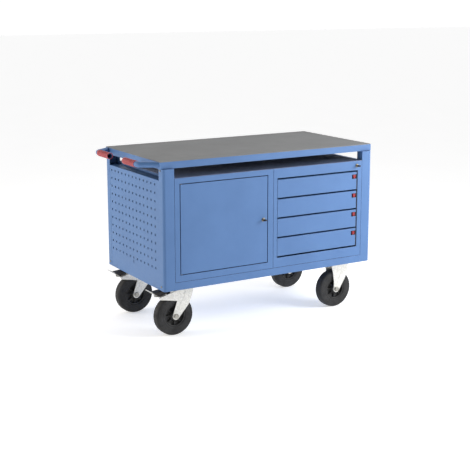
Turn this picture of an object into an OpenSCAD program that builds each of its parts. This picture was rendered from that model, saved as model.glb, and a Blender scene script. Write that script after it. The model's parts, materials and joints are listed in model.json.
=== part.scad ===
// Mobile workbench: a grey worktop on four folded steel posts, with a cupboard and a
// four-drawer cabinet side by side, two push handles and two swivel plus two fixed castors.
// +X runs along the worktop, away from the handles; -Y is the front; +Z is up; z = 0 is the floor.

/* [Worktop] */
// Length of the worktop
worktop_l = 1240; // [1100:10:1500]
// Depth of the worktop
worktop_w = 620; // [600:5:700]
// Height of the worktop's surface above the floor
bench_h = 880; // [860:5:960]
// Height of the worktop's edge
worktop_t = 36; // [30:1:45]
// Thickness of the rubber mat on the worktop
mat_t = 3; // [2:0.5:5]

/* [Posts and base] */
// Width of a post, seen from the front
post_w = 60; // [50:1:75]
// Depth of a post, seen from the end
post_d = 45; // [35:1:55]
// Radius of the post's outer edge
post_r = 14; // [6:1:20]
// Distance that the posts stand in front of the worktop
post_out = 15; // [5:1:25]
// Distance from the worktop's end to the post
post_inset = 6; // [4:1:12]
// Thickness of the folded post and base sheet
post_t = 2.5; // [2:0.5:4]
// Height of the base's lower edge above the floor
base_z = 251; // [245:1:255]
// Height of the base rails
base_h = 39.5; // [35:0.5:45]

/* [Cabinets] */
// Height of the open shelf under the worktop
shelf_gap = 45; // [30:1:60]
// Width of the cupboard
cupboard_w = 557; // [520:1:580]
// Thickness of the cabinet sheet
sheet = 2; // [1.5:0.5:3]
// Thickness of the perforated end panels
panel_t = 1.25; // [1:0.25:2]
// Clearance between a cabinet and the posts
seam = 1.2; // [0.8:0.1:2]
// Depth of the cabinets behind their front faces
cabinet_d = 640; // [600:5:648]
// Width of the cupboard's face frame at the sides
stile = 28; // [24:1:32]
// Height of the cupboard's face frame at the bottom
sill = 32.5; // [28:0.5:40]
// Height of the cupboard's face frame at the top
header = 29; // [24:1:36]
// Gap round the door leaf
door_gap = 4; // [3:0.5:5]
// Thickness of the door leaf
door_t = 20; // [16:1:24]

/* [Drawers] */
// Distance from one drawer to the next
drawer_pitch = 100.2; // [95:0.1:101]
// Open gap above each drawer front
drawer_gap = 8; // [5:0.5:10]
// Width of a drawer front
drawer_w = 491; // [470:1:495]
// Travel of a drawer
drawer_travel = 450; // [350:10:480]
// Depth of a drawer box
drawer_d = 560; // [520:5:590]

/* [Handles] */
// Reach of the handle's centre line past the end of the worktop
handle_out = 78; // [65:1:95]
// Radius of the handle tube
tube_r = 14; // [11:0.5:16]
// Wall of the handle tube
tube_t = 2.5; // [1.5:0.5:3]
// Radius of the red grip
grip_r = 16.5; // [15:0.5:19]
// Length of the red grip
grip_l = 130; // [120:5:180]

/* [Castors] */
// Radius of the wheels
wheel_r = 100; // [90:1:100]
// Width of the tyres
tyre_w = 50; // [40:1:50]
// Offset of a swivel castor's wheel behind its pivot
castor_trail = 57; // [50:1:60]
// Distance from the worktop's left end to the swivel pivots
swivel_x = 160; // [155:1:180]
// Distance from the worktop's left end to the fixed castors' axles
fixed_x = 1072; // [1000:1:1080]
// Distance from the worktop's front edge to the front wheels' centres
wheel_y = 86; // [80:1:95]

/* [Hidden] */
$fn = 48;
e = 0.01;

// Colours
blue = "cornflowerblue";
zinc = "gainsboro";
steel = "silver";
dark = "dimgray";
black = "#202224";
red = "#b8323c";
grey = "#909090";

// Levels
post_top = bench_h - worktop_t;
cab_z = base_z + base_h;
cab_top = post_top - shelf_gap;
panel_top = cab_top - 12;

// Plan
front_y = -post_out;
rear_y = worktop_w + post_out;
post_x1 = post_inset + post_w;
post_x2 = worktop_l - post_inset - post_w;
split = post_x1 + cupboard_w;
split_gap = 0.8;
shelf_mat_t = 2;
cabinet_top = cab_top - shelf_mat_t;

// Keys and locks
key_out = 27;
lock_r = 7.5;
plug_r = 5.5;
run = 0.05;

// The origin is the middle of the whole object's footprint, on the floor
origin_x = (worktop_l - handle_out - grip_r) / 2;
origin_y = (rear_y + front_y - key_out) / 2;

// Cupboard opening and door leaf
door_x1 = post_x1 + stile;
door_x2 = split - stile - 4;
door_z1 = cab_z + sill;
door_z2 = cab_top - header;
leaf_x1 = door_x1 + door_gap;
leaf_x2 = door_x2 - door_gap;
leaf_z1 = door_z1 + door_gap;
leaf_z2 = door_z2 - door_gap;
hinge_in = 5;
hinge_x = leaf_x1 + hinge_in;
hinge_y = front_y + hinge_in;
hinge_r = 2.5;
lip = 18;
door_lock_x = leaf_x2 - 24;
door_lock_z = (leaf_z1 + leaf_z2) / 2;

// Drawer cabinet
drawer_x1 = split + 25;
drawer_x2 = drawer_x1 + drawer_w;
bay_x1 = drawer_x1 - 2;
bay_x2 = drawer_x2 + drawer_gap;
bay_top = cab_top - 50.4;
bay_bottom = bay_top - 4 * drawer_pitch - drawer_gap;
front_h = drawer_pitch - drawer_gap;
front_t = 18;
box_in = 14;
box_h = 74;
rail_h = 24;
runner_h = 18;
catch_x = drawer_x2 - 12;
catch_drop = 26;
stem_x = -1;
stem_w = 5;
cab_lock_x = drawer_x2 + 1;
cab_lock_z = cab_top - 26;
bar_travel = 5;

// Castors
plate_l = 140;
plate_w = 110;
plate_t = 6;
bolt_dx = 105;
bolt_dy = 90;
bolt_r = 5;
plate_z = base_z - plate_t;
axle_z = wheel_r;
axle_r = 7.5;
hub_w = 56;
leg_in = 29;
leg_t = 5;
leg_end_r = 18;
rim_r = 56;
kingpin_r = 8;
pivot_x = swivel_x - 76;
pivot_z = 223.5;
pivot_r = 4;
wheels_y = [wheel_y, worktop_w - wheel_y];
trail_x = swivel_x - castor_trail;
fixed_plate_x = fixed_x + 20;

function drawer_z(i) = bay_top - drawer_gap - front_h - (i - 1) * drawer_pitch;
function catch_z(i) = drawer_z(i) + front_h - catch_drop;

// ---- placing ----

module bench() {
    translate([-origin_x, -origin_y, 0]) children();
}

module to_rear() {
    translate([0, worktop_w, 0]) mirror([0, 1, 0]) children();
}

module to_right() {
    translate([worktop_l, 0, 0]) mirror([1, 0, 0]) children();
}

// A block between two corners
module block(a, b) {
    translate(a) cube(b - a);
}

// A cylinder along +Y
module rod_y(r, length) {
    rotate([-90, 0, 0]) cylinder(r = r, h = length);
}

// An outline in X and Z, extruded along +Y
module slab_y(thickness) {
    translate([0, thickness, 0]) rotate([90, 0, 0]) linear_extrude(thickness) children();
}

// ---- worktop ----

module worktop_frame() {
    color(blue) bench() difference() {
        block([0, 0, post_top], [worktop_l, worktop_w, bench_h - mat_t]);
        block([sheet, sheet, post_top - e], [worktop_l - sheet, worktop_w - sheet, bench_h - mat_t - sheet]);
    }
}

module worktop_board() {
    color("burlywood") bench()
        block([sheet, sheet, post_top + 3], [worktop_l - sheet, worktop_w - sheet, bench_h - mat_t - sheet]);
}

module worktop_mat() {
    color(grey) bench()
        block([1, 1, bench_h - mat_t], [worktop_l - 1, worktop_w - 1, bench_h]);
}

// ---- posts, base and end panels ----

// A post's footprint: a rounded outer edge at its front left
module post_outline(w, d, r) {
    translate([r, 0]) square([w - r, d]);
    translate([0, r]) square([w, d - r]);
    translate([r, r]) circle(r);
}

module post() {
    translate([post_inset, front_y, base_z]) {
        linear_extrude(post_top - base_z) difference() {
            post_outline(post_w, post_d, post_r);
            translate([post_t, post_t])
                post_outline(post_w - 2 * post_t, post_d, post_r - post_t);
        }
        translate([0, 0, post_top - base_z - 4]) linear_extrude(4) post_outline(post_w, post_d, post_r);
    }
}

module post_front_left() {
    color(blue) bench() post();
}

module post_front_right() {
    color(blue) bench() to_right() post();
}

module post_rear_left() {
    color(blue) bench() to_rear() post();
}

module post_rear_right() {
    color(blue) bench() to_right() to_rear() post();
}

// A channel open to the inside, with a shadow groove under the cabinets' faces
module base_rail() {
    groove = 1.5;
    difference() {
        block([post_x1, front_y, base_z], [post_x2, front_y + 40, cab_z]);
        block([post_x1 - e, front_y - e, cab_z - groove], [post_x2 + e, front_y + 8, cab_z + e]);
        block([post_x1 - e, front_y + post_t, base_z + post_t], [post_x2 + e, rear_y, cab_z - post_t - groove]);
    }
}

module base_rails() {
    color(blue) bench() {
        base_rail();
        to_rear() base_rail();
    }
}

module at_castor_bolts(x) {
    for (y = wheels_y, dx = [-1, 1], dy = [-1, 1])
        translate([x + dx * bolt_dx / 2, y + dy * bolt_dy / 2, 0]) children();
}

// A channel across the bench that a pair of castors is bolted to
module castor_beam(x) {
    beam_t = 3;
    y1 = front_y + 40;
    y2 = rear_y - 40;
    difference() {
        block([x - plate_l / 2, y1, base_z], [x + plate_l / 2, y2, cab_z - 4]);
        block([x - plate_l / 2 + beam_t, y1 - e, base_z + beam_t], [x + plate_l / 2 - beam_t, y2 + e, cab_z]);
        at_castor_bolts(x) translate([0, 0, base_z - e]) cylinder(r = bolt_r, h = beam_t + 1);
    }
}

module castor_beams() {
    color(blue) bench() {
        castor_beam(swivel_x);
        castor_beam(fixed_plate_x);
    }
}

// A folded end panel with square holes for tool hooks: a shallow tray, open towards the cabinet
module end_panel() {
    hole = 10;
    pitch = 41.1;
    y1 = front_y + post_d + 0.5;
    y2 = worktop_w - y1;
    x = post_inset + 1;
    rows = 11;
    columns = 13;
    first_y = 74;
    top_row = panel_top - 24;
    inner_x = post_x1 - 0.5;
    rotate([90, 0, 90]) translate([0, 0, x]) linear_extrude(panel_t) difference() {
        translate([y1, base_z]) square([y2 - y1, panel_top - base_z]);
        for (i = [0:columns - 1], j = [0:rows - 1])
            translate([first_y + i * pitch, top_row - j * pitch]) square(hole, center = true);
        translate([first_y + 6 * pitch, top_row - (rows - 0.5) * pitch]) square([8, 15], center = true);
    }
    block([x, y1, panel_top - panel_t], [inner_x, y2, panel_top]);
    block([x, y1, base_z], [inner_x, y2, base_z + panel_t]);
}

module end_panel_left() {
    color(blue) bench() end_panel();
}

module end_panel_right() {
    color(blue) bench() to_right() end_panel();
}

// ---- handles ----

// Centre line: out from the worktop's end at a slant, then back along it
arm_y = 24;
bend_y = 76;
bend_r = 32;
arm_angle = atan2(bend_y - arm_y, handle_out);
bend_turn = 90 - arm_angle;
bend_cut = bend_r * tan(bend_turn / 2);
arm_l = norm([handle_out, bend_y - arm_y]);
handle_z = post_top + 20;
grip_y = bend_y + bend_cut + 3;
bore_from = 40;

module handle() {
    difference() {
        translate([0, arm_y, handle_z]) rotate([0, 0, 180 - arm_angle]) rotate([0, 90, 0])
            translate([0, 0, -20]) cylinder(r = tube_r, h = arm_l - bend_cut + 20);
        block([0, -40, post_top - 20], [60, 80, bench_h + 20]);
    }
    translate([-handle_out + bend_r, bend_y + bend_cut, handle_z])
        rotate([0, 0, 180]) rotate_extrude(angle = bend_turn, $fn = 96)
            translate([bend_r, 0]) circle(tube_r);
    translate([-handle_out, bend_y + bend_cut, handle_z]) difference() {
        rod_y(tube_r, grip_l - 2);
        translate([0, bore_from, 0]) rod_y(tube_r - tube_t, grip_l);
    }
}

// A ribbed sleeve on the tube's open end
module grip() {
    pitch = 9.5;
    start = 10;
    groove = 1.2;
    nose = 6;
    ribs = floor((grip_l - start - nose - 8) / pitch);
    translate([-handle_out, grip_y, handle_z]) rotate([-90, 0, 0]) difference() {
        rotate_extrude() polygon(concat(
            [[0, 0], [grip_r, 0], [grip_r, start - 1]],
            [for (i = [0:ribs - 1], p = [[groove, 1], [groove, 4], [0, 5], [0, pitch - 1]])
                [grip_r - p[0], start + i * pitch + p[1]]],
            [for (a = [0:15:90]) [grip_r - nose + nose * cos(a), grip_l - nose + nose * sin(a)]],
            [[0, grip_l]]
        ));
        translate([0, 0, -e]) cylinder(r = tube_r, h = grip_l - 5);
        translate([0, 0, -e]) cylinder(r = tube_r - tube_t, h = grip_l + 1);
    }
}

module handle_front() {
    color(blue) bench() handle();
}

module handle_rear() {
    color(blue) bench() to_rear() handle();
}

module grip_front() {
    color(red) bench() grip();
}

module grip_rear() {
    color(red) bench() to_rear() grip();
}

// ---- cupboard and its door ----

// A folded carcass, open at the front
module carcass(x1, x2) {
    difference() {
        block([x1, front_y, cab_z], [x2, front_y + cabinet_d, cabinet_top]);
        block([x1 + sheet, front_y + sheet, cab_z + sheet],
            [x2 - sheet, front_y + cabinet_d - sheet, cabinet_top - sheet]);
        children();
    }
}

module door_opening(grow, y1, y2) {
    block([door_x1 - grow, y1, door_z1 - grow], [door_x2 + grow, y2, door_z2 + grow]);
}

module cupboard() {
    color(blue) bench() difference() {
        union() {
            carcass(post_x1 + seam, split - split_gap) door_opening(0, front_y - 1, front_y + 5);
            difference() {
                door_opening(sheet, front_y, front_y + lip);
                door_opening(0, front_y - e, front_y + lip + e);
            }
        }
        translate([hinge_x, hinge_y, door_z1 - sheet - 1]) cylinder(r = hinge_r, h = door_z2 - door_z1 + 6);
    }
}

shelf_z = (cab_z + cabinet_top) / 2 - 10;
clip_z = shelf_z - 8;
shelf_y1 = front_y + 40;
shelf_y2 = front_y + cabinet_d - 20;

// A folded shelf: a flat top with turned-down edges
module cupboard_shelf() {
    x1 = post_x1 + seam + sheet + 2;
    x2 = split - split_gap - sheet - 2;
    color(blue) bench() difference() {
        block([x1, shelf_y1, shelf_z], [x2, shelf_y2, shelf_z + 20]);
        block([x1 + sheet, shelf_y1 + sheet, shelf_z - e],
            [x2 - sheet, shelf_y2 - sheet, shelf_z + 20 - sheet]);
    }
}

module shelf_clip() {
    block([0, -8, 0], [14, 8, 8]);
    block([0, -8, -14], [2, 8, 0]);
}

module shelf_clips() {
    color(steel) bench() for (y = [shelf_y1 + 40, shelf_y2 - 40]) {
        translate([post_x1 + seam + sheet, y, clip_z]) shelf_clip();
        translate([split - split_gap - sheet, y, clip_z]) mirror([1, 0, 0]) shelf_clip();
    }
}

// A folded leaf with a stiffening channel behind it
module door_panel() {
    y1 = front_y;
    y2 = front_y + door_t;
    mid = (leaf_x1 + leaf_x2) / 2;
    color(blue) bench() {
        difference() {
            block([leaf_x1, y1, leaf_z1], [leaf_x2, y2, leaf_z2]);
            block([leaf_x1 + sheet, y1 + sheet, leaf_z1 + sheet], [leaf_x2 - sheet, y2 + e, leaf_z2 - sheet]);
            translate([hinge_x, hinge_y, leaf_z1 - 1]) cylinder(r = hinge_r + run, h = leaf_z2 - leaf_z1 + 2);
            translate([door_lock_x, y1 - 1, door_lock_z]) rod_y(lock_r, 5);
        }
        difference() {
            block([mid - 20, y1 + sheet, leaf_z1 + sheet], [mid + 20, y2 - 3, leaf_z2 - sheet]);
            block([mid - 18, y1 + sheet - e, leaf_z1], [mid + 18, y2 - 5, leaf_z2]);
        }
    }
}

module hinge_pins() {
    reach = sheet + door_gap + 10;
    color(steel) bench() for (z = [door_z1 - sheet, leaf_z2 - 10])
        translate([hinge_x, hinge_y, z]) cylinder(r = hinge_r, h = reach);
}

// ---- locks ----

// A round lock: a bezel on the front face and a barrel through it
module lock_body() {
    difference() {
        union() {
            translate([0, -3, 0]) rod_y(lock_r + 2, 3);
            rod_y(lock_r, 22);
        }
        translate([0, -4, 0]) rod_y(plug_r + run, 30);
    }
}

// The turning plug, its key and the cam behind it
module key_and_cam(cam_l) {
    translate([0, -4, 0]) rod_y(plug_r, 30);
    translate([-1.2, -9, -3.5]) cube([2.4, 6, 7]);
    translate([-9, -key_out + 7, -3.2]) cube([18, 12, 6.4]);
    translate([0, -key_out + 9, -3.2]) cylinder(r = 9, h = 6.4);
    translate([0, 23, 0]) slab_y(3) {
        circle(9);
        translate([-6, -cam_l]) square([12, cam_l]);
    }
}

module at_door_lock() {
    translate([door_lock_x, front_y, door_lock_z]) children();
}

module at_cabinet_lock() {
    translate([cab_lock_x, front_y, cab_lock_z]) children();
}

module door_lock_body() {
    color(steel) bench() at_door_lock() lock_body();
}

module door_key() {
    color(dark) bench() at_door_lock() key_and_cam(32);
}

module cabinet_lock_body() {
    color(steel) bench() at_cabinet_lock() lock_body();
}

module cabinet_key() {
    color(dark) bench() at_cabinet_lock() key_and_cam(16);
}

// The flat bar behind the drawers' right-hand gap, which the lock lifts
module cabinet_lock_bar() {
    x = drawer_x2 + 2;
    y = front_y + sheet + 0.3;
    color(dark) bench()
        block([x, y, bay_bottom - 6], [x + 12, y + 3, cab_lock_z - lock_r - bar_travel - 1]);
}

// ---- drawer cabinet ----

module drawer_cabinet() {
    color(blue) bench() carcass(split + split_gap, post_x2 - seam) {
        block([bay_x1, front_y - 1, bay_bottom], [bay_x2, front_y + 5, bay_top]);
        at_cabinet_lock() translate([0, -1, 0]) rod_y(lock_r, 5);
    }
}

// The ribbed mat that lines the open shelf, on top of both cabinets
module shelf_mat() {
    color(dark) bench()
        block([post_x1, front_y + 3, cabinet_top], [post_x2, front_y + cabinet_d, cab_top]);
}

// One channel, open towards the drawer, on two spacers from the cabinet's wall
module drawer_rail(wall) {
    web = 1.5;
    depth = 11;
    y1 = front_y + front_t + 4;
    y2 = y1 + drawer_travel + 98;
    difference() {
        block([0, y1, 0], [depth, y2, rail_h]);
        block([web, y1 - e, web], [depth + e, y2 + e, rail_h - web]);
    }
    for (y = [y1 + 20, y2 - 60]) block([-wall, y, 2], [0, y + 40, rail_h - 2]);
}

module drawer_rails() {
    left = drawer_x1 + 1;
    right = drawer_x2 - 1;
    color(zinc) bench() for (i = [1:4]) {
        translate([left, 0, drawer_z(i) + 24]) drawer_rail(left - split - split_gap - sheet);
        translate([right, 0, drawer_z(i) + 24]) mirror([1, 0, 0]) drawer_rail(post_x2 - seam - sheet - right);
    }
}

// An open tray with a runner bar on each side
module drawer_box(i) {
    x1 = drawer_x1 + box_in;
    x2 = drawer_x2 - box_in;
    y1 = front_y + front_t;
    y2 = y1 + drawer_d;
    z1 = drawer_z(i) + 8;
    run_z = drawer_z(i) + 24 + (rail_h - runner_h) / 2;
    color(blue) bench() {
        difference() {
            block([x1, y1, z1], [x2, y2, z1 + box_h]);
            block([x1 + sheet, y1 + sheet, z1 + sheet], [x2 - sheet, y2 - sheet, z1 + box_h + 1]);
        }
        for (x = [x1 - 10, x2]) block([x, y1 + 8, run_z], [x + 10, y2 - 4, run_z + runner_h]);
    }
}

// A folded front: flat face, sloping top edge, turned-in top and bottom
module drawer_front(i) {
    slope = 3;
    turn = 12;
    t = sheet;
    color(blue) bench() difference() {
        translate([drawer_x1, front_y, drawer_z(i)]) rotate([90, 0, 90]) {
            linear_extrude(drawer_w) polygon([
                [0, 0], [0, front_h - slope], [slope, front_h], [front_t, front_h],
                [front_t, front_h - turn], [front_t - t, front_h - turn], [front_t - t, front_h - t],
                [slope + 0.8, front_h - t], [t, front_h - slope - 0.8], [t, t], [front_t - t, t],
                [front_t - t, turn], [front_t, turn], [front_t, 0]
            ]);
            for (x = [0, drawer_w - t]) translate([0, 0, x]) linear_extrude(t)
                polygon([[0, 0], [0, front_h - slope], [slope, front_h], [front_t, front_h], [front_t, 0]]);
        }
        block([catch_x - 17, front_y - 1, catch_z(i) - 10], [drawer_x2 + 1, front_y + 14, catch_z(i) + 13]);
    }
    color(blue) bench() difference() {
        block([catch_x - 19, front_y + 14, catch_z(i) - 12], [drawer_x2, front_y + 16, catch_z(i) + 15]);
        translate([catch_x + stem_x - 0.3, front_y + 13, catch_z(i) - 4.3]) cube([stem_w + 0.6, 4, 8.6]);
    }
}

// The red catch that frees a drawer: a wedge that narrows downwards, on a flat stem beside the box
module drawer_catch(i) {
    w = 15;
    color(red) bench() translate([catch_x, front_y + 0.5, catch_z(i)]) {
        slab_y(9) polygon([[-w / 2, 11], [w / 2, 11], [w / 2, -2], [3, -9], [-3, -9], [-w / 2, -2]]);
        block([stem_x, 8, -4], [stem_x + stem_w, 20, 4]);
    }
}

// ---- castors ----

// A zinc plate with four bolt holes, under the base
module castor_plate(x, y) {
    difference() {
        block([x - plate_l / 2, y - plate_w / 2, plate_z], [x + plate_l / 2, y + plate_w / 2, base_z]);
        at_castor_bolts(x) translate([0, 0, plate_z - e]) cylinder(r = bolt_r, h = plate_t + 1);
    }
}

// Plates with their kingpins and ball races
module swivel_plates() {
    color(zinc) bench() for (y = wheels_y) {
        castor_plate(swivel_x, y);
        translate([swivel_x, y, 196]) cylinder(r = 13, h = 9, $fn = 6);
        translate([swivel_x, y, 204]) cylinder(r = kingpin_r, h = plate_z - 204 + 1);
        translate([swivel_x, y, plate_z - 1.7]) cylinder(r = 32, h = 2);
    }
}

// A fork's two legs, from an outline in X and Z
module legs() {
    for (y = [-leg_in - leg_t, leg_in]) translate([0, y, 0]) slab_y(leg_t) children();
}

module axle_hole() {
    translate([0, -60, 0]) rod_y(axle_r, 120);
}

// The legs of a swivel fork run out into two wings that hold the brake pedal
module swivel_fork(y) {
    crown_z = 206;
    crown_t = 8;
    leg_top = 232;
    ear_x = pivot_x - swivel_x;
    color(zinc) bench() translate([swivel_x, y, 0]) difference() {
        union() {
            translate([0, 0, crown_z]) cylinder(r = 39, h = crown_t);
            translate([0, 0, crown_z]) cylinder(r = 37, h = plate_z - 2 - crown_z);
            block([-98, -34, crown_z], [35, 34, crown_z + crown_t]);
            legs() {
                translate([-castor_trail, axle_z]) circle(leg_end_r);
                polygon([
                    [-147, crown_z - 1], [-43, leg_top], [41, leg_top], [34, 203], [23, 171], [11, 150],
                    [-castor_trail + 13.5, axle_z - 12], [-castor_trail - 17, axle_z + 6],
                    [-50, 177], [-84, 184], [-141, 194]
                ]);
            }
            for (dy = [-30, 26]) block([ear_x - 9, dy, crown_z], [ear_x + 9, dy + 4, pivot_z + 8]);
            translate([ear_x, -30, pivot_z]) rod_y(pivot_r, 60);
        }
        translate([0, 0, crown_z - 1]) cylinder(r = kingpin_r + run, h = 50);
        translate([-castor_trail, 0, axle_z]) {
            axle_hole();
            translate([0, -tyre_w / 2 - 2, 0]) rod_y(wheel_r + 2, tyre_w + 4);
        }
    }
}

// An axle bolt with a hexagon head and nut
module axle(x, y) {
    end = leg_in + leg_t;
    color(steel) bench() translate([x, y, axle_z]) {
        translate([0, -end, 0]) rod_y(axle_r, 2 * end);
        for (s = [-end - 8, end]) translate([0, s, 0]) rotate([-90, 0, 0]) cylinder(r = 13, h = 8, $fn = 6);
    }
}

module fixed_axles() {
    for (y = wheels_y) axle(fixed_x, y);
}

// A moulded rim: hub, web with ribs and a flat tread for the tyre
module rim(x, y) {
    hub_r = 24;
    ribs = 8;
    color(black) bench() translate([x, y, axle_z]) rotate([-90, 0, 0]) {
        rotate_extrude($fn = 96) polygon([
            [axle_r + run, -hub_w / 2], [hub_r - 4, -hub_w / 2], [hub_r, -hub_w / 2 + 6], [hub_r + 2, -6],
            [rim_r - 9, -6], [rim_r - 7, -tyre_w / 2 + 4], [rim_r, -tyre_w / 2 + 4],
            [rim_r, tyre_w / 2 - 4], [rim_r - 7, tyre_w / 2 - 4], [rim_r - 9, 6],
            [hub_r + 2, 6], [hub_r, hub_w / 2 - 6], [hub_r - 4, hub_w / 2], [axle_r + run, hub_w / 2]
        ]);
        for (i = [0:ribs - 1]) rotate([0, 0, i * 360 / ribs])
            translate([hub_r - 2, -2.5, -16]) cube([rim_r - hub_r - 4, 5, 32]);
    }
}

// A solid tyre with rounded shoulders
module tyre(x, y) {
    shoulder = 12;
    color(black) bench() translate([x, y, axle_z]) rotate([-90, 0, 0]) rotate_extrude($fn = 96) {
        translate([rim_r, -tyre_w / 2]) square([wheel_r - shoulder - rim_r, tyre_w]);
        translate([rim_r, -tyre_w / 2 + shoulder]) square([wheel_r - rim_r, tyre_w - 2 * shoulder]);
        for (s = [-1, 1]) translate([wheel_r - shoulder, s * (tyre_w / 2 - shoulder)]) circle(shoulder);
    }
}

// The foot pedal of the total lock: a tread between the fork's wings, and a lever that rises past them
module brake_pedal(y) {
    color(black) bench() translate([pivot_x, y - 22, pivot_z]) difference() {
        slab_y(44) {
            circle(7.5);
            polygon([
                [4, -6], [6, 4], [2, 10], [-46, 10.5], [-92, 6.5], [-121, 22.5],
                [-125, 19.5], [-94, 1], [-66, -14], [-30, -3.5], [-6, -3.5]
            ]);
        }
        translate([0, -1, 0]) rod_y(pivot_r + run, 50);
    }
}

// The crown of a fixed fork stands ahead of its axle
module fixed_fork(y) {
    color(zinc) bench() {
        castor_plate(fixed_plate_x, y);
        translate([fixed_x, y, 0]) difference() {
            union() {
                block([-33, -34, plate_z - 8], [76, 34, plate_z]);
                legs() {
                    translate([0, axle_z]) circle(leg_end_r);
                    polygon([
                        [-33, plate_z], [76, plate_z], [70, 200], [57, 158],
                        [16, axle_z - 8.5], [-17.5, axle_z + 4], [-15, 141]
                    ]);
                }
            }
            translate([0, 0, axle_z]) axle_hole();
        }
    }
}

// ---- fasteners ----

// A bolt up through the plate, with its nut on top of the beam
module castor_bolt() {
    translate([0, 0, plate_z - 7]) cylinder(r = 9, h = 7, $fn = 6);
    translate([0, 0, plate_z - 1]) cylinder(r = bolt_r, h = 24);
    translate([0, 0, base_z + 3]) cylinder(r = 9, h = 8, $fn = 6);
}

module castor_bolts() {
    color(steel) bench() for (x = [swivel_x, fixed_plate_x]) at_castor_bolts(x) castor_bolt();
}

// Pan-head screws through the posts' side flanges, at the top and bottom
module post_screws() {
    for (z = [base_z + 20, post_top - 8]) translate([post_inset, front_y + 28, z]) rotate([0, -90, 0])
        cylinder(r = 5, h = 4);
}

module frame_bolts() {
    color(steel) bench() {
        post_screws();
        to_right() post_screws();
        to_rear() post_screws();
        to_right() to_rear() post_screws();
    }
}

// ---- the nodes ----

worktop_frame();
worktop_board();
worktop_mat();
post_front_left();
post_front_right();
post_rear_left();
post_rear_right();
handle_front();
handle_rear();
grip_front();
grip_rear();
base_rails();
castor_beams();
end_panel_left();
end_panel_right();
cupboard();
cupboard_shelf();
shelf_clips();
door_panel();
hinge_pins();
door_lock_body();
door_key();
drawer_cabinet();
drawer_rails();
shelf_mat();
drawer_box(1);  // drawer_box_1
drawer_box(2);  // drawer_box_2
drawer_box(3);  // drawer_box_3
drawer_box(4);  // drawer_box_4
drawer_front(1);  // drawer_front_1
drawer_front(2);  // drawer_front_2
drawer_front(3);  // drawer_front_3
drawer_front(4);  // drawer_front_4
drawer_catch(1);  // drawer_catch_1
drawer_catch(2);  // drawer_catch_2
drawer_catch(3);  // drawer_catch_3
drawer_catch(4);  // drawer_catch_4
cabinet_lock_body();
cabinet_key();
cabinet_lock_bar();
swivel_plates();
swivel_fork(wheels_y[0]);  // swivel_fork_front
swivel_fork(wheels_y[1]);  // swivel_fork_rear
axle(trail_x, wheels_y[0]);  // swivel_axle_front
axle(trail_x, wheels_y[1]);  // swivel_axle_rear
rim(trail_x, wheels_y[0]);  // swivel_rim_front
rim(trail_x, wheels_y[1]);  // swivel_rim_rear
tyre(trail_x, wheels_y[0]);  // swivel_tyre_front
tyre(trail_x, wheels_y[1]);  // swivel_tyre_rear
brake_pedal(wheels_y[0]);  // brake_pedal_front
brake_pedal(wheels_y[1]);  // brake_pedal_rear
fixed_fork(wheels_y[0]);  // fixed_fork_front
fixed_fork(wheels_y[1]);  // fixed_fork_rear
fixed_axles();
rim(fixed_x, wheels_y[0]);  // fixed_rim_front
rim(fixed_x, wheels_y[1]);  // fixed_rim_rear
tyre(fixed_x, wheels_y[0]);  // fixed_tyre_front
tyre(fixed_x, wheels_y[1]);  // fixed_tyre_rear
frame_bolts();
castor_bolts();
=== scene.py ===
"""Mobile workbench: materials, detailed pieces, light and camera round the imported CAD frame.

Everything is in metres in the row frame: +X along the worktop away from the push handles,
-Y to the doors and drawers, +Z up from the floor.
"""

import json
import math

import bmesh
import bpy
from mathutils import Matrix, Vector


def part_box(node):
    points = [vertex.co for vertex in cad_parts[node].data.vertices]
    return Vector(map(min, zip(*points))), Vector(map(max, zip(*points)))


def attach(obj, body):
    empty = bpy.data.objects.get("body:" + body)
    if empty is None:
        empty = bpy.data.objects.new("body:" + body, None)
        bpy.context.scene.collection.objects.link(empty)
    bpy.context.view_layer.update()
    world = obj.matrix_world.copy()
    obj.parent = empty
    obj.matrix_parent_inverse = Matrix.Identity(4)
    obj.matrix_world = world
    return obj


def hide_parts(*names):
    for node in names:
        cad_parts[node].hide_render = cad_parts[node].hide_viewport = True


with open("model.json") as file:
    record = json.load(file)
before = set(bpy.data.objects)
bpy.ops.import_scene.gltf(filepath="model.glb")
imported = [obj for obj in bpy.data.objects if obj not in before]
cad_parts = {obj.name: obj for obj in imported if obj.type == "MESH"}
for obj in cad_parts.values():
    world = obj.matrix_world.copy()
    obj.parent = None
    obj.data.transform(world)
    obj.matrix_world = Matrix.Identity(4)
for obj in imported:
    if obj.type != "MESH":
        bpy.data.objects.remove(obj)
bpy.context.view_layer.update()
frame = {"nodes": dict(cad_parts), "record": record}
NODES = frame["nodes"]
BODY_OF = {node: body for body, nodes in frame["record"]["behaviour"]["bodies"].items() for node in nodes}
SLOT_OF = {part["node"]: part["material_slot"] for part in frame["record"]["subparts"]}

MM = 0.001
# Reach of the ambient occlusion that paints shade into gaps, seams and holes
GAP_SHADE_REACH = 24 * MM
ENDS = ("front", "rear")
DRAWERS = (1, 2, 3, 4)
AXES = {"X": Vector((1, 0, 0)), "Y": Vector((0, 1, 0)), "Z": Vector((0, 0, 1))}


# ---- colours and node graphs ----

def srgb(red, green, blue):
    """A colour given in 0 to 255 sRGB steps, as linear RGBA."""
    steps = [value / 255 for value in (red, green, blue)]
    return [s / 12.92 if s <= 0.04045 else ((s + 0.055) / 1.055) ** 2.4 for s in steps] + [1.0]


def start(name, **uniform):
    """A new material: its node tree and its shader, with the uniform sockets set."""
    material = bpy.data.materials.new(name)
    material.use_nodes = True
    shader = material.node_tree.nodes["Principled BSDF"]
    for socket, value in uniform.items():
        shader.inputs[socket.replace("_", " ")].default_value = value
    return material, material.node_tree, shader


def coordinates(tree, stretch=(1, 1, 1)):
    coords = tree.nodes.new("ShaderNodeTexCoord")
    mapping = tree.nodes.new("ShaderNodeMapping")
    mapping.inputs["Scale"].default_value = stretch
    tree.links.new(coords.outputs["Object"], mapping.inputs["Vector"])
    return mapping.outputs["Vector"]


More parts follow.
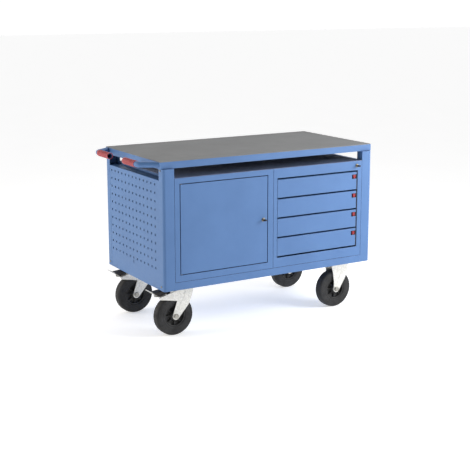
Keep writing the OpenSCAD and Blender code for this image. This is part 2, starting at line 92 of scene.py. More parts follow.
def noise(tree, scale, detail=4.0, roughness=0.55, stretch=(1, 1, 1)):
    """Noise with `scale` features to the metre."""
    texture = tree.nodes.new("ShaderNodeTexNoise")
    texture.inputs["Scale"].default_value = scale
    texture.inputs["Detail"].default_value = detail
    texture.inputs["Roughness"].default_value = roughness
    tree.links.new(coordinates(tree, stretch), texture.inputs["Vector"])
    return texture.outputs["Fac"]


def cells(tree, scale, stretch=(1, 1, 1)):
    """Rounded cells, `scale` to the metre."""
    texture = tree.nodes.new("ShaderNodeTexVoronoi")
    texture.inputs["Scale"].default_value = scale
    tree.links.new(coordinates(tree, stretch), texture.inputs["Vector"])
    return texture


def ramp(tree, factor, stops):
    """A colour ramp with (position, colour) stops."""
    node = tree.nodes.new("ShaderNodeValToRGB")
    node.color_ramp.elements[0].position, node.color_ramp.elements[0].color = stops[0]
    node.color_ramp.elements[1].position, node.color_ramp.elements[1].color = stops[-1]
    for position, color in stops[1:-1]:
        node.color_ramp.elements.new(position).color = color
    tree.links.new(factor, node.inputs["Fac"])
    return node.outputs["Color"]


def between(tree, factor, low, high, start_at=0.3, end_at=0.7):
    """The factor, mapped from start_at..end_at to low..high."""
    node = tree.nodes.new("ShaderNodeMapRange")
    for socket, value in zip(("From Min", "From Max", "To Min", "To Max"), (start_at, end_at, low, high)):
        node.inputs[socket].default_value = value
    tree.links.new(factor, node.inputs["Value"])
    return node.outputs["Result"]


def times(tree, first, second):
    node = tree.nodes.new("ShaderNodeMath")
    node.operation = "MULTIPLY"
    tree.links.new(first, node.inputs[0])
    tree.links.new(second, node.inputs[1])
    return node.outputs["Value"]


def blend_colors(tree, factor, first, second):
    """first where the factor is 0, the constant colour `second` where it is 1."""
    node = tree.nodes.new("ShaderNodeMix")
    node.data_type = "RGBA"
    tree.links.new(factor, node.inputs["Factor"])
    first_color, second_color = [socket for socket in node.inputs if socket.type == "RGBA"]
    tree.links.new(first, first_color)
    second_color.default_value = second
    return next(socket for socket in node.outputs if socket.type == "RGBA")


# The blue paint lightens these patches as a painted edge highlight; the plastics use them for worn edges
def edge_wear_and_highlight(tree, low, high):
    """1 in patches along the bevelled edges, 0 elsewhere."""
    attribute = tree.nodes.new("ShaderNodeAttribute")
    attribute.attribute_name = "edge_wear_and_highlight"
    return times(tree, attribute.outputs["Fac"], between(tree, noise(tree, 45, 6), low, high, 0.4, 0.65))


def paint_gap_shade(tree, color, painted_shade_color):
    """The colour, blended to a painted dark shade inside narrow gaps, seams and holes, where ambient
    occlusion finds nearby surfaces.
    """
    occlusion = tree.nodes.new("ShaderNodeAmbientOcclusion")
    occlusion.samples = 8
    occlusion.inputs["Distance"].default_value = GAP_SHADE_REACH
    closed = between(tree, occlusion.outputs["AO"], 1.0, 0.0, 0.2, 0.62)
    return blend_colors(tree, closed, color, painted_shade_color)


def bump(tree, shader, *layers):
    """Stacks (height, depth in millimetres) layers of relief."""
    normal = None
    for height, depth in layers:
        node = tree.nodes.new("ShaderNodeBump")
        node.inputs["Strength"].default_value = 1.0
        node.inputs["Distance"].default_value = depth * MM
        tree.links.new(height, node.inputs["Height"])
        if normal:
            tree.links.new(normal, node.inputs["Normal"])
        normal = node.outputs["Normal"]
    tree.links.new(normal, shader.inputs["Normal"])


def set_look(tree, shader, color, roughness=None):
    tree.links.new(color, shader.inputs["Base Color"])
    if roughness:
        tree.links.new(roughness, shader.inputs["Roughness"])


# ---- materials, one function for each finish ----

def blue_paint():
    """Powder coat: fine orange peel, faint clouds of colour, a painted highlight of lighter blue in
    patches along the folds, and painted shade in gaps, seams and holes.
    """
    material, tree, shader = start("blue_paint", Specular_IOR_Level=0.42, IOR=1.5)
    base = ramp(tree, noise(tree, 5, 5), [(0.3, srgb(78, 115, 166)), (0.7, srgb(84, 122, 174))])
    # Painted highlight: lighter blue in patches on the bevelled edges
    worn = blend_colors(tree, edge_wear_and_highlight(tree, 0.15, 0.6), base, srgb(128, 160, 206))
    # Painted shade: dark navy in gaps, seams and holes, from ambient occlusion
    color = paint_gap_shade(tree, worn, srgb(18, 34, 84))
    set_look(tree, shader, color, between(tree, noise(tree, 60, 5), 0.40, 0.52))
    bump(tree, shader, (noise(tree, 420, 2), 0.05), (noise(tree, 1500, 2), 0.012))
    return material


def worktop_mat():
    """Grey rubber with a fine pressed grain and faint scuffs."""
    material, tree, shader = start("worktop_mat", Specular_IOR_Level=0.22)
    base = ramp(tree, noise(tree, 6, 6), [(0.3, srgb(134, 135, 136)), (0.7, srgb(141, 142, 143))])
    specks = between(tree, noise(tree, 900, 3), 0.0, 0.5, 0.58, 0.72)
    color = blend_colors(tree, specks, base, srgb(158, 159, 160))
    scuffs = between(tree, noise(tree, 22, 7, 0.7, (1, 6, 1)), 0.72, 0.86)
    set_look(tree, shader, color, scuffs)
    bump(tree, shader, (cells(tree, 520).outputs["Distance"], 0.12), (noise(tree, 1400, 2), 0.05))
    return material


def shelf_mat():
    """Dark ribbed liner with a dusty bloom on the ribs."""
    material, tree, shader = start("shelf_mat", Specular_IOR_Level=0.5)
    color = ramp(tree, noise(tree, 14, 6), [(0.3, srgb(124, 138, 170)), (0.7, srgb(138, 152, 184))])
    set_look(tree, shader, color, between(tree, noise(tree, 80, 4), 0.40, 0.55))
    bump(tree, shader, (noise(tree, 700, 3), 0.08))
    return material


def board():
    """Dark film-faced board: flakes of three tones showing through."""
    material, tree, shader = start("board", Specular_IOR_Level=0.25)
    flakes = cells(tree, 260, stretch=(1, 1, 3))
    color = ramp(tree, flakes.outputs["Color"], [
        (0.15, srgb(72, 70, 68)), (0.5, srgb(92, 89, 86)), (0.85, srgb(114, 110, 105))])
    set_look(tree, shader, color, between(tree, noise(tree, 90, 4), 0.7, 0.9))
    bump(tree, shader, (flakes.outputs["Distance"], 0.2))
    return material


def red_plastic(name, dark, light, grain):
    """Moulded plastic with a fine spark-eroded grain and a worn sheen."""
    material, tree, shader = start(name, Specular_IOR_Level=0.45)
    base = ramp(tree, noise(tree, 30, 5), [(0.3, dark), (0.7, light)])
    color = blend_colors(tree, edge_wear_and_highlight(tree, 0.1, 0.45), base, srgb(214, 132, 138))
    set_look(tree, shader, color, between(tree, noise(tree, 120, 4), 0.38, 0.55))
    bump(tree, shader, (noise(tree, grain, 2), 0.06))
    return material


def tyre():
    """Solid rubber: black, with grey bloom and a little dust on the tread."""
    material, tree, shader = start("tyre", Specular_IOR_Level=0.3)
    bloom = ramp(tree, noise(tree, 24, 7, 0.65), [(0.35, srgb(38, 38, 39)), (0.7, srgb(56, 56, 57))])
    dust = between(tree, noise(tree, 180, 6, 0.7), 0.0, 0.35, 0.55, 0.75)
    color = blend_colors(tree, dust, bloom, srgb(92, 90, 87))
    set_look(tree, shader, color, between(tree, noise(tree, 70, 5), 0.58, 0.78))
    bump(tree, shader, (noise(tree, 600, 3), 0.09))
    return material


def moulded_black(name, dark, light):
    """Glass-filled nylon: dark, slightly streaked, with a fine grain."""
    material, tree, shader = start(name, Specular_IOR_Level=0.4)
    base = ramp(tree, noise(tree, 40, 6, 0.6, (1, 2.5, 1)), [(0.3, dark), (0.7, light)])
    color = blend_colors(tree, edge_wear_and_highlight(tree, 0.1, 0.5), base, srgb(104, 104, 106))
    set_look(tree, shader, color, between(tree, noise(tree, 160, 4), 0.42, 0.6))
    bump(tree, shader, (noise(tree, 900, 2), 0.05))
    return material


def zinc():
    """Bright zinc plate: faint spangles, cloudy reflection, faint stains."""
    material, tree, shader = start("zinc", Metallic=0.6)
    spangle = cells(tree, 170)
    base = ramp(tree, spangle.outputs["Color"], [
        (0.1, srgb(206, 205, 200)), (0.5, srgb(220, 219, 214)), (0.9, srgb(232, 231, 226))])
    stains = between(tree, noise(tree, 35, 7, 0.65), 0.0, 0.35, 0.52, 0.75)
    color = blend_colors(tree, stains, base, srgb(196, 194, 184))
    set_look(tree, shader, color, between(tree, noise(tree, 90, 5), 0.34, 0.52))
    bump(tree, shader, (noise(tree, 240, 3), 0.05))
    return material


def bright_metal(name, dark, light, smooth, rough, brush):
    """Plated or brushed metal: fine lines along one direction, cloudy gloss."""
    material, tree, shader = start(name, Metallic=1.0)
    color = ramp(tree, noise(tree, 60, 5), [(0.3, dark), (0.7, light)])
    set_look(tree, shader, color, between(tree, noise(tree, 300, 4, 0.6, brush), smooth, rough))
    bump(tree, shader, (noise(tree, 700, 2, 0.5, brush), 0.015))
    return material


def dark_steel():
    """Black oxide on steel, with brown-grey variation."""
    material, tree, shader = start("dark_steel", Metallic=0.6)
    color = ramp(tree, noise(tree, 50, 6), [(0.3, srgb(38, 42, 52)), (0.7, srgb(62, 68, 82))])
    set_look(tree, shader, color, between(tree, noise(tree, 130, 4), 0.38, 0.56))
    bump(tree, shader, (noise(tree, 500, 3), 0.04))
    return material


MATERIALS = {
    "blue_paint": blue_paint(),
    "worktop_mat": worktop_mat(),
    "shelf_mat": shelf_mat(),
    "board": board(),
    "red_grip": red_plastic("red_grip", srgb(158, 62, 68), srgb(172, 74, 80), 700),
    "red_catch": red_plastic("red_catch", srgb(134, 20, 34), srgb(150, 28, 44), 1100),
    "tyre": tyre(),
    "rim": moulded_black("rim", srgb(30, 30, 31), srgb(44, 44, 45)),
    "pedal": moulded_black("pedal", srgb(26, 25, 26), srgb(38, 37, 38)),
    "key": moulded_black("key", srgb(26, 22, 24), srgb(40, 34, 36)),
    "zinc": zinc(),
    "chrome": bright_metal("chrome", srgb(112, 104, 88), srgb(140, 132, 112), 0.24, 0.36, (1, 1, 1)),
    "steel": bright_metal("steel", srgb(142, 140, 134), srgb(172, 170, 162), 0.30, 0.44, (1, 1, 6)),
    "dark_steel": dark_steel(),
}


# ---- mesh helpers ----

def middle(node):
    """The middle of a CAD node's box."""
    low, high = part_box(node)
    return (low + high) / 2


def bench(x, y, z):
    """A point in millimetres from the worktop's front left corner, at floor level, in the row frame."""
    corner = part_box("worktop_frame")[0]
    return Vector((corner.x + x * MM, corner.y + y * MM, z * MM))


def in_mm(points):
    """Pairs of millimetres, as pairs of metres."""
    return [(first * MM, second * MM) for first, second in points]


def both_sides(half):
    """A profile that starts at the middle of its length, with its mirror image before it, in metres."""
    return in_mm([(radius, -along) for radius, along in reversed(half[1:])] + half)


def joined(lower, upper, faces):
    """Side faces between two rings of vertices, either of which may be one point."""
    count = max(len(lower), len(upper))
    for i in range(count):
        corners = [lower[i % len(lower)], lower[(i + 1) % len(lower)],
                   upper[(i + 1) % len(upper)], upper[i % len(upper)]]
        faces(list(dict.fromkeys(corners)))


def turn(bm, profile, at, axis="Y", steps=72, closed=False):
    """Adds the solid that (radius, distance along the axis) points sweep round an axis through `at`."""
    place = Matrix.Translation(at) @ AXES["Z"].rotation_difference(AXES[axis]).to_matrix().to_4x4()
    angles = [2 * math.pi * i / steps for i in range(steps)]
    rings = []
    for radius, along in profile:
        points = [(radius * math.cos(a), radius * math.sin(a), along) for a in angles]
        if radius < 1e-7:
            points = [(0, 0, along)]
        rings.append([bm.verts.new(place @ Vector(point)) for point in points])
    for lower, upper in zip(rings, rings[1:] + (rings[:1] if closed else [])):
        if len(lower) > 1 or len(upper) > 1:
            joined(lower, upper, bm.faces.new)


def arc(centre, radius, first, last, steps):
    """Points (radius, along) of an arc, from `first` to `last` degrees."""
    angles = [math.radians(first + (last - first) * i / steps) for i in range(steps + 1)]
    return [(centre[0] + radius * math.cos(a), centre[1] + radius * math.sin(a)) for a in angles]


def block(bm, low, high, bevel=0.0, segments=2):
    """Adds a box between two corners, with its edges rounded."""
    low, high = Vector(low), Vector(high)
    made = bmesh.ops.create_cube(bm, size=1.0)
    place = Matrix.Translation((low + high) / 2) @ Matrix.Diagonal((*(high - low), 1))
    bmesh.ops.transform(bm, matrix=place, verts=made["verts"])
    edges = dict.fromkeys(edge for vert in made["verts"] for edge in vert.link_edges)
    round_edges(bm, edges, bevel, segments)


def slab(bm, outline, low_y, high_y, bevel=0.0, segments=2):
    """Adds an outline of (x, z) points, extruded along Y."""
    rings = [[bm.verts.new((x, y, z)) for x, z in outline] for y in (low_y, high_y)]
    joined(rings[0], rings[1], bm.faces.new)
    caps = [bm.faces.new(rings[0]), bm.faces.new(list(reversed(rings[1])))]
    round_edges(bm, dict.fromkeys(edge for cap in caps for edge in cap.edges), bevel, segments)


def round_edges(bm, edges, width, segments):
    """Bevels edges and marks the new faces, where the materials put worn patches and painted edge
    highlights.
    """
    if width <= 0:
        return
    bevel_layer = bm.faces.layers.float.get("edge_wear_and_highlight") or bm.faces.layers.float.new("edge_wear_and_highlight")
    made = bmesh.ops.bevel(bm, geom=list(edges), offset=width, offset_type="OFFSET", segments=segments,
                           profile=0.5, affect="EDGES", clamp_overlap=True)
    for face in made["faces"]:
        face[bevel_layer] = 1.0


def add_mesh(bm, other):
    """Adds one mesh to another, and frees it."""
    mesh = bpy.data.meshes.new("part")
    other.to_mesh(mesh)
    other.free()
    bm.from_mesh(mesh)
    bpy.data.meshes.remove(mesh)


def piece(name, bm, body, slot, stands_for=(), sharp=32, weighted=True):
    """Makes the object of a mesh: material, smooth shading, the body it rides on, the node it replaces."""
    bmesh.ops.recalc_face_normals(bm, faces=bm.faces)
    mesh = bpy.data.meshes.new(name)
    bm.to_mesh(mesh)
    bm.free()
    mesh.materials.append(MATERIALS[slot])
    mesh.polygons.foreach_set("use_smooth", [True] * len(mesh.polygons))
    mesh.set_sharp_from_angle(angle=math.radians(sharp))
    item = bpy.data.objects.new(name, mesh)
    bpy.context.scene.collection.objects.link(item)
    if weighted:
        item.modifiers.new("weighted_normals", "WEIGHTED_NORMAL").keep_sharp = True
    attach(item, body)
    if stands_for:
        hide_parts(*stands_for)


def cad_copy(node):
    """A clean copy of a CAD mesh: welded, with its flat faces whole again."""
    bm = bmesh.new()
    bm.from_mesh(NODES[node].data)
    bmesh.ops.remove_doubles(bm, verts=bm.verts, dist=0.01 * MM)
    bmesh.ops.dissolve_limit(bm, angle_limit=math.radians(0.5), verts=bm.verts, edges=bm.edges)
    return bm


def islands(node):
    """The boxes (low, high) of a CAD node's separate solids."""
    bm = cad_copy(node)
    left, found = set(bm.verts), []
    while left:
        reached, todo = set(), [left.pop()]
        while todo:
            vert = todo.pop()
            reached.add(vert)
            near = {edge.other_vert(vert) for edge in vert.link_edges} & left
            left -= near
            todo += near
        corners = [[v.co[k] for v in reached] for k in range(3)]
        found.append(([min(c) for c in corners], [max(c) for c in corners]))
    bm.free()
    return [(Vector(low), Vector(high)) for low, high in sorted(found)]


def sharp_edges(bm, degrees=35):
    """The edges where two faces meet at more than this angle."""
    limit = math.radians(degrees)
    return [e for e in bm.edges if len(e.link_faces) == 2 and e.calc_face_angle(0) > limit]


def refined(node, width, segments=2):
    """A CAD node's own shape with rounded folds and edges."""
    bm = cad_copy(node)
    round_edges(bm, sharp_edges(bm), width * MM, segments)
    piece(node + "_finished", bm, BODY_OF[node], SLOT_OF[node], [node])


# ---- folded steel, trays and plates: the CAD shapes with rounded edges ----

# Widths of the rounded edges, in millimetres
EDGE_ROUNDING = {
    "worktop_frame": 1.4, "worktop_board": 0.8, "worktop_mat": 1.0,
    "post_front_left": 1.0, "post_front_right": 1.0, "post_rear_left": 1.0, "post_rear_right": 1.0,
    "base_rails": 1.0, "castor_beams": 0.8, "cupboard": 0.8, "cupboard_shelf": 0.8, "shelf_clips": 0.5,
    "door_panel": 0.9, "drawer_cabinet": 0.8, "drawer_rails": 0.4, "cabinet_lock_bar": 0.5,
    "swivel_plates": 0.8, "swivel_fork_front": 1.0, "swivel_fork_rear": 1.0, "fixed_fork_front": 1.0,
    "fixed_fork_rear": 1.0, "swivel_axle_front": 0.9, "swivel_axle_rear": 0.9, "fixed_axles": 0.9,
    "castor_bolts": 0.7,
}


def finish_steelwork():
    """Stands a copy with rounded edges in for each folded or forged CAD node."""
    for node, width in EDGE_ROUNDING.items():
        refined(node, width)
    for i in DRAWERS:
        refined(f"drawer_box_{i}", 0.7)
        refined(f"drawer_front_{i}", 0.8)
        refined(f"drawer_catch_{i}", 1.0, 3)


# ---- grips and wheels: swept round their axes ----

GRIP = {"radius": 16.5, "bore": 14.0, "mouth": 11.5, "pitch": 9.5, "first": 10, "smooth_end": 14}


def grip(end):
    """A ribbed sleeve with a thick flange and an open, rolled end."""
    node = f"grip_{end}"
    low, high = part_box(node)
    half, outer = (high.y - low.y) / MM / 2, GRIP["radius"]
    profile = [(GRIP["bore"], -half), (outer - 0.8, -half), (outer, 0.8 - half), (outer, 8.6 - half)]
    for i in range(int((2 * half - GRIP["first"] - GRIP["smooth_end"]) / GRIP["pitch"])):
        foot = GRIP["first"] + i * GRIP["pitch"] - half
        profile += [(outer - 0.5, foot + 0.2), (outer - 1.3, foot + 0.9), (outer - 1.3, foot + 3.4)]
        profile += [(outer - 0.5, foot + 4.2), (outer, foot + 4.9), (outer, foot + GRIP["pitch"] - 0.6)]
    profile += arc((outer - 6, half - 6), 6, 0, 68, 8)
    profile += [(GRIP["mouth"] + 0.2, half - 0.6), (GRIP["mouth"], half - 1.6), (GRIP["mouth"], half - 5)]
    profile += [(GRIP["bore"], half - 5)]
    bm = bmesh.new()
    turn(bm, in_mm(profile), middle(node), steps=96, closed=True)
    piece(node + "_ribbed", bm, BODY_OF[node], SLOT_OF[node], [node], sharp=40, weighted=False)


TYRE_HALF = (
    [(99.7, 0), (100, 0.5), (100, 1.2)] + arc((88, 13), 12, 0, 90, 10)
    + [(86.4, 25), (85.8, 24.3), (83.6, 24.3), (83, 25), (69.4, 25), (68.6, 24.1), (66.2, 24.1)]
    + [(65.4, 24.8), (61.5, 24.8), (59.5, 23.9), (57.2, 22.6), (56, 21.4)])

RIM_HALF = [
    (56, 0), (56, 19.4), (55.2, 20.6), (53.8, 21), (50.6, 21), (49.4, 20.2), (48.2, 8.6), (46.6, 6.4),
    (44, 5.6), (38.6, 5.6), (38, 4.9), (34.6, 4.9), (34, 5.6), (28.4, 5.6), (26.4, 7.2), (24.6, 20.4),
    (23.2, 23.6), (20.6, 27.2), (19, 28), (12.6, 28), (12, 27.2), (9.4, 27.2), (7.7, 26.4)]

# A rib's outline: distance from the axle, height above the middle of the web
RIB = [(23, 5), (49, 5), (48.4, 15), (36, 12.4), (27, 15.6), (24, 19)]
RIBS = 8
RIB_HALF_WIDTH = 2.4 * MM


def add_ribs(bm, centre):
    """Ribs on both faces of a rim's web, like spokes."""
    for i in range(RIBS):
        rib = bmesh.new()
        for side in (-1, 1):
            outline = in_mm([(out, side * height) for out, height in RIB])
            slab(rib, outline, -RIB_HALF_WIDTH, RIB_HALF_WIDTH, 0.8 * MM)
        turned = Matrix.Rotation(2 * math.pi * i / RIBS, 4, "Y") @ Matrix.Rotation(math.pi / 2, 4, "X")
        bmesh.ops.transform(rib, matrix=Matrix.Translation(centre) @ turned, verts=rib.verts)
        add_mesh(bm, rib)


def wheel(side, end):
    """A tyre with stepped side walls and a moulding line, and a rim with a dished web and ribs."""
    for kind, half in (("tyre", TYRE_HALF), ("rim", RIM_HALF)):
        node = f"{side}_{kind}_{end}"
        bm = bmesh.new()
        turn(bm, both_sides(half), middle(node), steps=120, closed=True)
        if kind == "rim":
            add_ribs(bm, middle(node))
        piece(node + "_moulded", bm, BODY_OF[node], kind, [node], sharp=38, weighted=False)


# ---- castor forks and foot pedals ----

# Outlines round the pedal's pivot, in millimetres
PEDAL_PIVOT = (84, 0, 223.5)
TREAD = [
    (4, -6), (6, 4), (2, 10), (-46, 10.5), (-92, 6.5), (-93, 1.2), (-66, -14), (-30, -3.5), (-6, -3.5)]
TREAD_HALF_WIDTH = 22
TREAD_RIBS = [(-50 - 7 * i, 10.2 - 0.61 * i) for i in range(6)]
LEVER = [(-52, 1), (-50, 4), (-92, 5), (-95, 6.5), (-121, 22), (-125, 19.5), (-96, 0.5), (-66, -9)]
LEVER_HALF_WIDTH = 13


def pedal(end):
    """A ribbed black tread, and a plated lever that comes out of it and rises to a turned tip."""
    node = f"brake_pedal_{end}"
    pivot = bench(*PEDAL_PIVOT)
    pivot.y = middle(node).y

    def plate(bm, outline, half_width, bevel, segments):
        points = [(pivot.x + x, pivot.z + z) for x, z in in_mm(outline)]
        slab(bm, points, pivot.y - half_width * MM, pivot.y + half_width * MM, bevel * MM, segments)

    bm = bmesh.new()
    plate(bm, TREAD, TREAD_HALF_WIDTH, 1.5, 3)
    for x, top in TREAD_RIBS:
        low = pivot + Vector((x - 1.6, 3 - TREAD_HALF_WIDTH, top - 1.5)) * MM
        high = pivot + Vector((x + 1.6, TREAD_HALF_WIDTH - 3, top + 0.6)) * MM
        block(bm, low, high, 0.7 * MM)
    piece(f"pedal_tread_{end}", bm, BODY_OF[node], "pedal", [node])
    bm = bmesh.new()
    plate(bm, LEVER, LEVER_HALF_WIDTH, 0.9, 2)
    piece(f"pedal_lever_{end}", bm, BODY_OF[node], "zinc")


# Where the ridges on the legs start and end (x, z), in bench millimetres
RIDGES = {"swivel_fork": ((110, 128), (160, 196)), "fixed_fork": ((1080, 128), (1112, 196))}
RIDGE_WIDTH = 13
RIDGE_TAPER = (0.7, 1.6)
RIDGE_FACES = (33.2, 35)


def fork_ridges(fork, end):
    """A pressed stiffening ridge on the outside of each leg, from near the axle up to the crown."""
    node = f"{fork}_{end}"
    foot, head = [Vector(point) for point in RIDGES[fork]]
    along = (head - foot).normalized()
    across = Vector((-along.y, along.x)) * RIDGE_WIDTH / 2
    narrow, wide = RIDGE_TAPER
    outline = [foot + across * narrow, foot - across * narrow, head - across * wide, head + across * wide]
    points = [bench(x, 0, z) for x, z in outline]
    bm = bmesh.new()
    for side in (-1, 1):
        low_y, high_y = sorted(middle(node).y + side * face * MM for face in RIDGE_FACES)
        slab(bm, [(point.x, point.z) for point in points], low_y, high_y, 1.4 * MM, 3)
    piece(node + "_ridges", bm, BODY_OF[node], "zinc", sharp=50)


# ---- locks, keys and catches ----

LOCK_BEZEL = [
    (5.6, -3), (6.4, -3), (6.9, -2.5), (8.4, -2.2), (9.2, -1.5), (9.5, -0.6), (9.5, 0), (7.5, 0.1),
    (7.5, 15), (8.4, 15.2), (8.4, 19.8), (7.5, 20), (7.5, 22), (5.6, 22)]
PLUG = [(0, -3.4), (0.8, -3.4), (0.8, -4), (4.7, -4), (5.5, -3.3), (5.5, 26), (0, 26)]
CAM_DISC = [(0, 26), (8.6, 26), (9, 25.6), (9, 23.4), (8.6, 23), (0, 23)]
BOW_HALF = [(9, 0)] + arc((8, 2.2), 1, 0, 90, 4) + arc((3.6, 2.2), 1, 90, 180, 4) + [(2.6, 0)]
BEZEL_DEPTH = 3


def lock(which, cam_length):
    """A turned bezel and barrel; in it the plug with its cam, and a key with a pierced bow."""
    barrel, key = f"{which}_lock_body", f"{which}_key"
    at = middle(barrel)
    at.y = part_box(barrel)[0].y + BEZEL_DEPTH * MM

    def point(x, y, z):
        return at + Vector((x, y, z)) * MM

    bm = bmesh.new()
    turn(bm, in_mm(LOCK_BEZEL), at, steps=64, closed=True)
    piece(f"{which}_lock_bezel", bm, BODY_OF[barrel], SLOT_OF[barrel], [barrel], sharp=30, weighted=False)
    bm = bmesh.new()
    turn(bm, in_mm(PLUG), at, steps=64)
    turn(bm, in_mm(CAM_DISC), at, steps=48)
    block(bm, point(-6, 23, -cam_length), point(6, 26, 0), 0.6 * MM)
    block(bm, point(-1.1, -10, -3.2), point(1.1, -3.5, 3.2), 0.3 * MM)
    piece(f"{which}_lock_plug", bm, BODY_OF[key], "steel", weighted=False)
    bm = bmesh.new()
    lower = [(radius, -height) for radius, height in reversed(BOW_HALF[1:-1])]
    turn(bm, in_mm(BOW_HALF + lower), point(0, -18, 0), "Z", 48, True)
    block(bm, point(-8.6, -16, -3), point(8.6, -8.2, 3), 1.2 * MM, 3)
    piece(f"{which}_key_bow", bm, BODY_OF[key], "key", [key], sharp=30)


POCKET_WALL = 0.8 * MM
POCKET_DEPTH = 13.8 * MM
POCKET_PAST_CATCH = (9.4 * MM, 20.8 * MM, 1.8 * MM)


def catch_pocket(i):
    """A black moulded cup that lines the recess in a drawer front, pierced for the catch's stem."""
    catch_low, catch_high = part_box(f"drawer_catch_{i}")
    front_low, front_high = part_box(f"drawer_front_{i}")
    past_left, down, past_top = POCKET_PAST_CATCH
    low = Vector((catch_low.x - past_left, front_low.y + 0.2 * MM, catch_high.z - down))
    high = Vector((front_high.x - 0.2 * MM, front_low.y + POCKET_DEPTH, catch_high.z + past_top))
    stem_x = (catch_low.x + catch_high.x) / 2
    far = high.y - POCKET_WALL
    walls = [
        (low, (low.x + POCKET_WALL, high.y, high.z)), ((high.x - POCKET_WALL, low.y, low.z), high),
        (low, (high.x, high.y, low.z + POCKET_WALL)), ((low.x, low.y, high.z - POCKET_WALL), high)]
    backs = [((low.x, far, low.z), (stem_x - 3 * MM, high.y, high.z)),
             ((stem_x + 5.5 * MM, far, low.z), high)]
    bm = bmesh.new()
    for corners, bevel in [(wall, 0.25) for wall in walls] + [(back, 0.2) for back in backs]:
        block(bm, *corners, bevel * MM)
    piece(f"catch_pocket_{i}", bm, BODY_OF[f"drawer_front_{i}"], "rim")


LINER_PITCH = 6 * MM
# One rib and its groove: distance from the rib's start, depth below the top, in millimetres
LINER_GROOVE = [(0, 1.0), (1.6, 1.0), (2.2, 0.3), (2.9, 0)]
LINER_RIB_END = [(1.6, 0), (0.7, 0.3)]


def shelf_liner():
    """A ribbed liner: one mesh with rounded ribs along its length."""
    low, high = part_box("shelf_mat")
    count = round((high.x - low.x) / LINER_PITCH)
    pitch = (high.x - low.x) / count
    outline = [(low.x, low.z)]
    for i in range(count):
        x = low.x + i * pitch
        outline += [(x + past * MM, high.z - depth * MM) for past, depth in LINER_GROOVE]
        outline += [(x + pitch - before * MM, high.z - depth * MM) for before, depth in LINER_RIB_END]
    outline += [(high.x, high.z - 1.0 * MM), (high.x, low.z)]
    bm = bmesh.new()
    slab(bm, outline, low.y, high.y)
    piece("shelf_liner_ribbed", bm, BODY_OF["shelf_mat"], "shelf_mat", ["shelf_mat"], weighted=False)


# A pan head with a recess: (share of the radius, share of the height)
PAN_HEAD = [(0, 0), (1, 0), (1, 0.35), (0.9, 0.7), (0.7, 0.93), (0.45, 1), (0.36, 0.6), (0, 0.5)]


def screws():
    """Pan heads, where the CAD has plain discs."""
    bm = bmesh.new()
    for low, high in islands("frame_bolts"):
        outward = 1 if low.x > middle("worktop_frame").x else -1
        height, radius = high.x - low.x, (high.z - low.z) / 2
        at = (low + high) / 2
        at.x = low.x if outward > 0 else high.x
        profile = [(share * radius, outward * up * height) for share, up in PAN_HEAD]
        turn(bm, profile, at, "X", 32)
    piece("frame_bolts_pan_heads", bm, BODY_OF["frame_bolts"], SLOT_OF["frame_bolts"], ["frame_bolts"],
          weighted=False)


# ---- stage, light and camera ----

CAMERA_AT = (-2.77395, -4.6715, 1.6385)
CAMERA_YAW = 30.809
CAMERA_DOWN = 11.247
LENS = 80.98
SHIFT_UP = -0.06

# Half the floor's width, in metres
FLOOR_HALF_SIZE = 40

# The world's strength on the camera's side and behind the object
BACKDROP_TOWARD = (math.sin(math.radians(CAMERA_YAW)), math.cos(math.radians(CAMERA_YAW)), 0)
FRONT_LEVEL = 0.31
BACK_LEVEL = 1.05


def make_camera():
    data = bpy.data.cameras.new("camera")
    data.lens = LENS
    data.sensor_width = 36
    data.shift_y = SHIFT_UP
    data.clip_end = 200
    camera = bpy.data.objects.new("camera", data)
    camera.location = CAMERA_AT
    camera.rotation_euler = (math.radians(90 - CAMERA_DOWN), 0, math.radians(-CAMERA_YAW))
    bpy.context.scene.collection.objects.link(camera)
    bpy.context.scene.camera = camera


def area_light(name, at, aim, width, height, power, color=(1, 1, 1)):
    data = bpy.data.lights.new(name, "AREA")
    data.shape = "RECTANGLE"
    data.size, data.size_y = width, height
    data.energy = power
    data.color = color
    light = bpy.data.objects.new(name, data)
    light.location = at
    light.rotation_euler = (Vector(aim) - Vector(at)).to_track_quat("-Z", "Y").to_euler()
    bpy.context.scene.collection.objects.link(light)


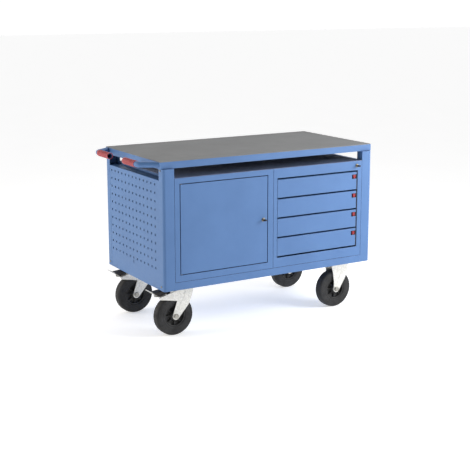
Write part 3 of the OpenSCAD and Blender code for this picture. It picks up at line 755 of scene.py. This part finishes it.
def make_world():
    """A studio that is white behind the object and dimmer on the camera's side."""
    world = bpy.data.worlds.new("studio")
    world.use_nodes = True
    tree = world.node_tree
    coords = tree.nodes.new("ShaderNodeTexCoord")
    toward = tree.nodes.new("ShaderNodeVectorMath")
    toward.operation = "DOT_PRODUCT"
    toward.inputs[1].default_value = BACKDROP_TOWARD
    tree.links.new(coords.outputs["Generated"], toward.inputs[0])
    strength = between(tree, toward.outputs["Value"], FRONT_LEVEL, BACK_LEVEL, 0.0, 0.6)
    tree.links.new(strength, tree.nodes["Background"].inputs["Strength"])
    tree.nodes["Background"].inputs["Color"].default_value = (1, 1, 1, 1)
    bpy.context.scene.world = world


def make_stage():
    bm = bmesh.new()
    bmesh.ops.create_grid(bm, x_segments=1, y_segments=1, size=FLOOR_HALF_SIZE)
    mesh = bpy.data.meshes.new("floor")
    bm.to_mesh(mesh)
    bm.free()
    material, tree, shader = start("floor", Roughness=0.9, Specular_IOR_Level=0.05,
                                   Emission_Color=(1, 1, 1, 1), Emission_Strength=0.45)
    clouds = ramp(tree, noise(tree, 2), [(0.3, srgb(243, 243, 243)), (0.7, srgb(246, 246, 246))])
    set_look(tree, shader, clouds)
    mesh.materials.append(material)
    floor = bpy.data.objects.new("floor", mesh)
    bpy.context.scene.collection.objects.link(floor)
    make_world()
    bpy.context.scene.view_settings.view_transform = "Standard"


make_camera()
make_stage()
area_light("key", (2.0, -1.9, 1.5), (0.45, -0.3, 0.5), 1.2, 1.2, 66)
area_light("left_fill", (-3.0, 0.9, 1.4), (-0.5, 0.1, 0.5), 1.5, 1.5, 40, (1.0, 0.92, 0.82))

for name, node_object in NODES.items():
    for material_slot in node_object.material_slots:
        material_slot.material = MATERIALS[SLOT_OF[name]]

finish_steelwork()
shelf_liner()
screws()
for end in ENDS:
    grip(end)
    pedal(end)
    wheel("swivel", end)
    wheel("fixed", end)
    for fork in RIDGES:
        fork_ridges(fork, end)
lock("door", cam_length=32)
lock("cabinet", cam_length=16)
for i in DRAWERS:
    catch_pocket(i)
